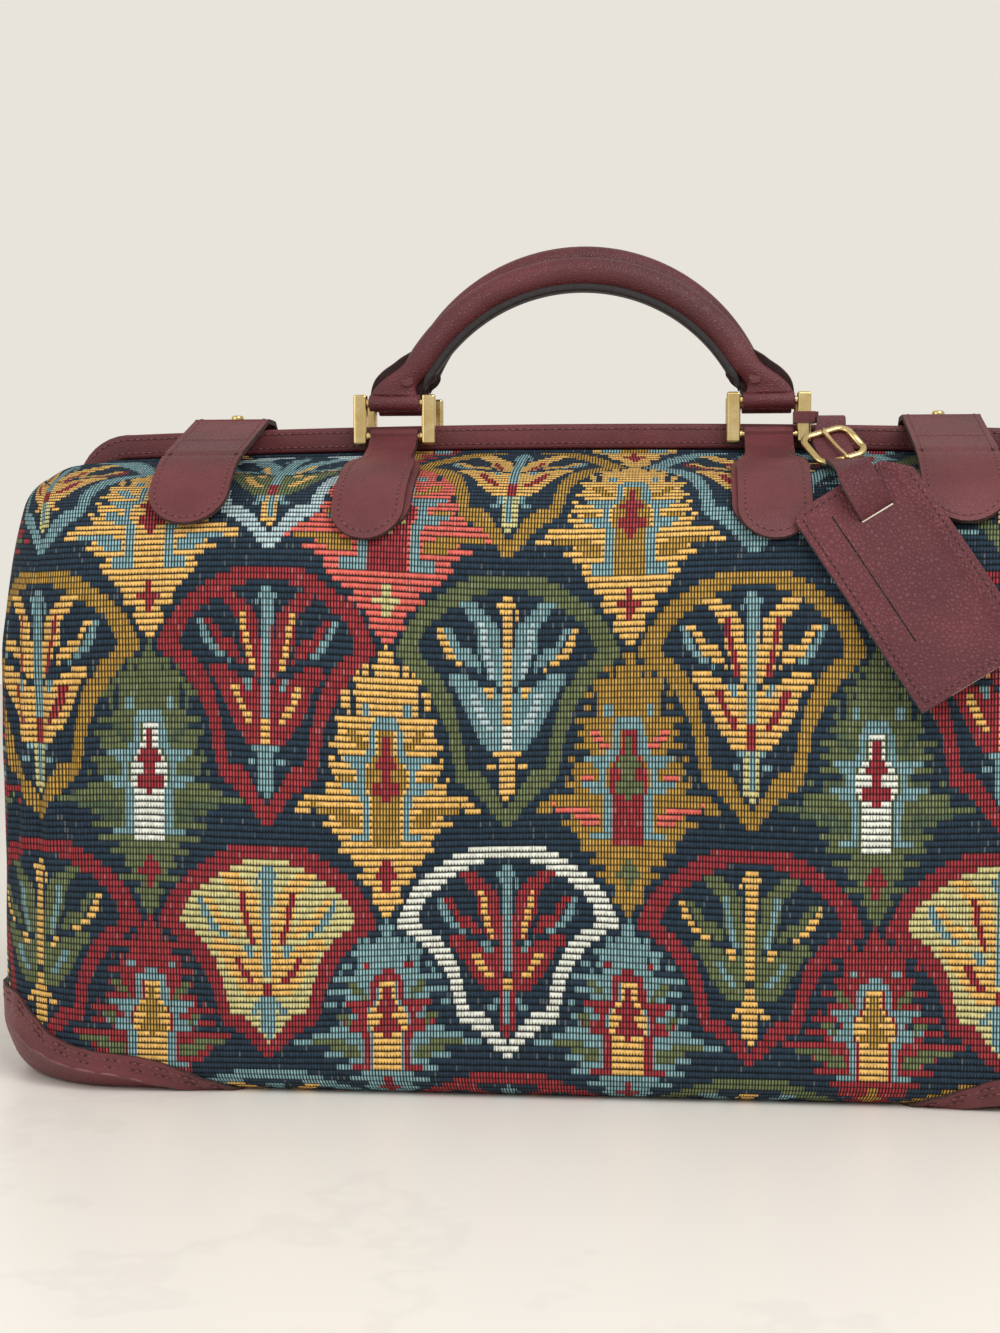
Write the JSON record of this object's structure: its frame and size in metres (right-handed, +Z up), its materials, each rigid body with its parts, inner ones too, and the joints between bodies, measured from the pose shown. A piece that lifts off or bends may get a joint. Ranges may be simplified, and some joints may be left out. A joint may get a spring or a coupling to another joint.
{
  "type": "carpet bag",
  "caption": "Tapestry carpet bag with a leather-covered hinged frame, rolled leather handles on brass rings, snap tabs, corner patches and a buckled name tag.",
  "frame": {"origin": "centre of the flat base on which the bag stands", "axes": "+X along the bag's length, +Y towards its back, +Z up; the name tag hangs on the front, -Y"},
  "size_m": [0.5236, 0.2424, 0.3885],
  "materials": {
    "tapestry": "ribbed tapestry weave",
    "lining_cloth": "plain weave",
    "board": "pressed board",
    "leather": "pebbled",
    "black_leather": "smooth",
    "steel": "plain",
    "brass": "polished, lightly worn",
    "card": "plain card"
  },
  "bodies": {
    "bag": {"front_panel": "tapestry", "back_panel": "tapestry", "left_end_panel": "tapestry", "right_end_panel": "tapestry", "base_panel": "tapestry", "lining": "lining_cloth", "base_board": "board", "front_left_corner_patch": "leather", "front_right_corner_patch": "leather", "back_left_corner_patch": "leather", "back_right_corner_patch": "leather", "front_jaw_cover": "leather", "back_jaw_cover": "leather", "front_left_chape": "leather", "front_right_chape": "leather", "back_left_chape": "leather", "back_right_chape": "leather", "left_snap_tab": "leather", "right_snap_tab": "leather", "front_jaw_strip": "steel", "back_jaw_strip": "steel", "left_frame_rivet": "steel", "right_frame_rivet": "steel", "left_snap": "brass", "right_snap": "brass", "left_tab_stud": "brass", "right_tab_stud": "brass"},
    "front_left_ring": {"front_left_ring_bars": "brass", "front_left_ring_pins": "brass"},
    "front_right_ring": {"front_right_ring_bars": "brass", "front_right_ring_pins": "brass", "tag_loop": "leather"},
    "front_carry_handle": {"front_handle": "leather", "front_handle_strip": "black_leather", "front_handle_rivets": "brass"},
    "back_left_ring": {"back_left_ring_bars": "brass", "back_left_ring_pins": "brass"},
    "back_right_ring": {"back_right_ring_bars": "brass", "back_right_ring_pins": "brass"},
    "back_carry_handle": {"back_handle": "leather", "back_handle_strip": "black_leather", "back_handle_rivets": "brass"},
    "name_tag": {"tag_back": "leather", "tag_card": "card", "tag_front": "leather", "tag_strap": "leather", "tag_buckle": "brass", "tag_buckle_prong": "brass"}
  },
  "joints": [
    {"name": "front_left_ring_turn", "type": "hinge", "parent": "bag", "child": "front_left_ring", "pos_m": [-0.089, -0.01515, 0.296], "axis": [1, 0, 0], "range_deg": [0, 75]},
    {"name": "front_right_ring_turn", "type": "hinge", "parent": "bag", "child": "front_right_ring", "pos_m": [0.089, -0.01515, 0.296], "axis": [1, 0, 0], "range_deg": [0, 75]},
    {"name": "front_handle_turn", "type": "hinge", "parent": "front_left_ring", "child": "front_carry_handle", "pos_m": [-0.089, -0.01515, 0.312], "axis": [1, 0, 0], "range_deg": [0, 25]},
    {"name": "back_left_ring_turn", "type": "hinge", "parent": "bag", "child": "back_left_ring", "pos_m": [-0.089, 0.01515, 0.296], "axis": [-1, 0, 0], "range_deg": [0, 75]},
    {"name": "back_right_ring_turn", "type": "hinge", "parent": "bag", "child": "back_right_ring", "pos_m": [0.089, 0.01515, 0.296], "axis": [-1, 0, 0], "range_deg": [0, 75]},
    {"name": "back_handle_turn", "type": "hinge", "parent": "back_left_ring", "child": "back_carry_handle", "pos_m": [-0.089, 0.01515, 0.312], "axis": [-1, 0, 0], "range_deg": [0, 25]},
    {"name": "name_tag_lift", "type": "hinge", "parent": "bag", "child": "name_tag", "pos_m": [0.1185, -0.01515, 0.3037], "axis": [-1, 0, 0], "range_deg": [0, 70]}
  ],
  "couplings": [
    {"joint": "front_right_ring_turn", "follows": "front_left_ring_turn", "ratio": 1},
    {"joint": "back_right_ring_turn", "follows": "back_left_ring_turn", "ratio": 1}
  ]
}
